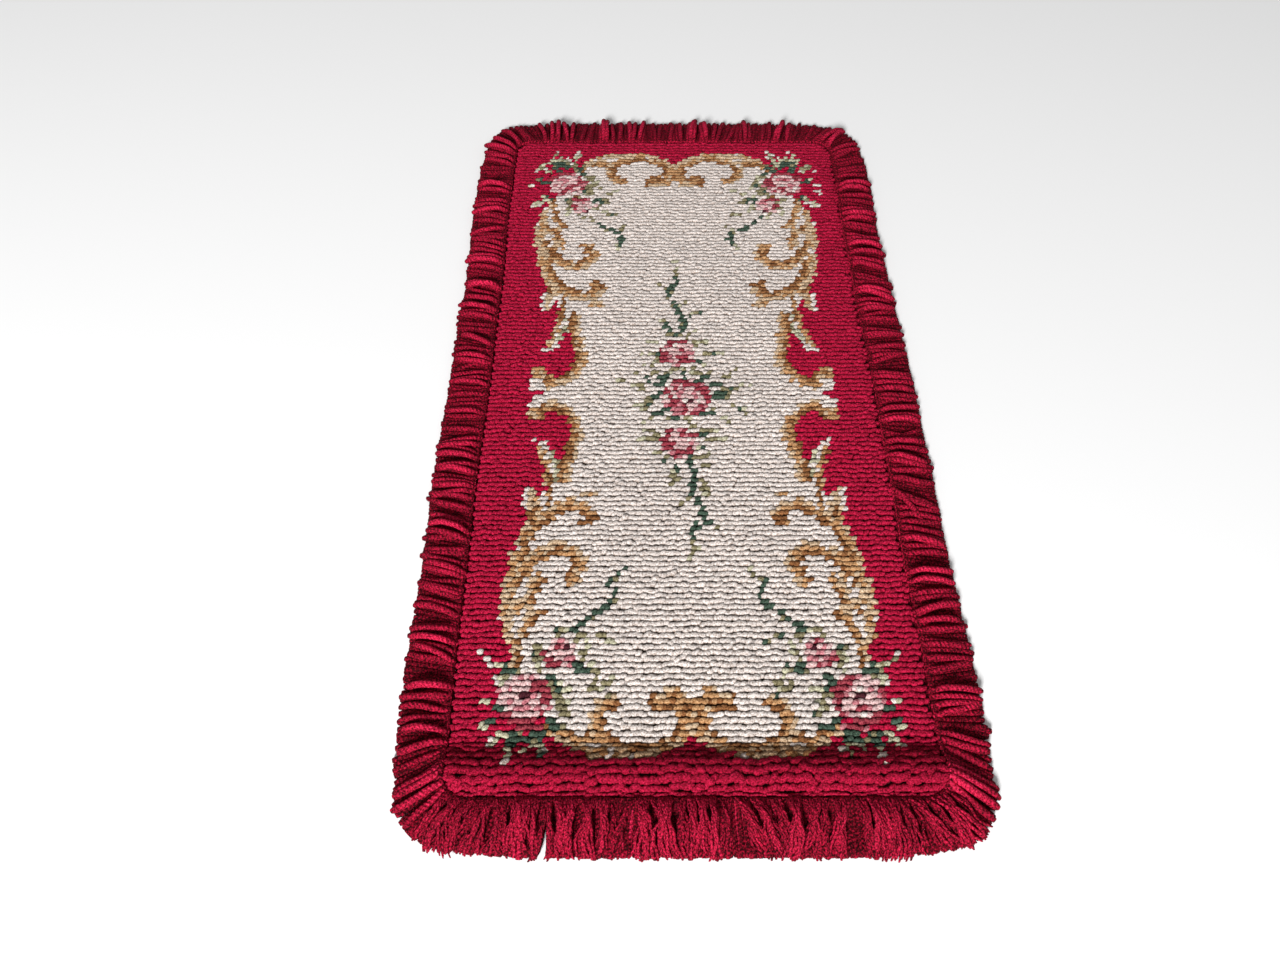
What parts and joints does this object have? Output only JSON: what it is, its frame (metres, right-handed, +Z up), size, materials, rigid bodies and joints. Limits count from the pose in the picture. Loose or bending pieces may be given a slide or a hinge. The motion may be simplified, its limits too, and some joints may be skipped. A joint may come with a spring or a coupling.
{
  "type": "fringed loop-pile rug",
  "caption": "Small rectangular loop-pile rug with a floral scroll field, a plain border and a corded fringe on all four sides, lying flat.",
  "frame": {"origin": "centre of the footprint, on the floor under the rug", "axes": "+Y along the rug's length to its far end, +X across it to the right, +Z up from the floor"},
  "size_m": [0.6038, 1.1478, 0.0214],
  "materials": {
    "field_wool": "matte loop-pile wool",
    "fringe_wool": "matte plied wool cord"
  },
  "bodies": {
    "root": {"rug_body": "field_wool", "fringe_near": "fringe_wool", "fringe_right": "fringe_wool", "fringe_far": "fringe_wool", "fringe_left": "fringe_wool"}
  },
  "joints": []
}
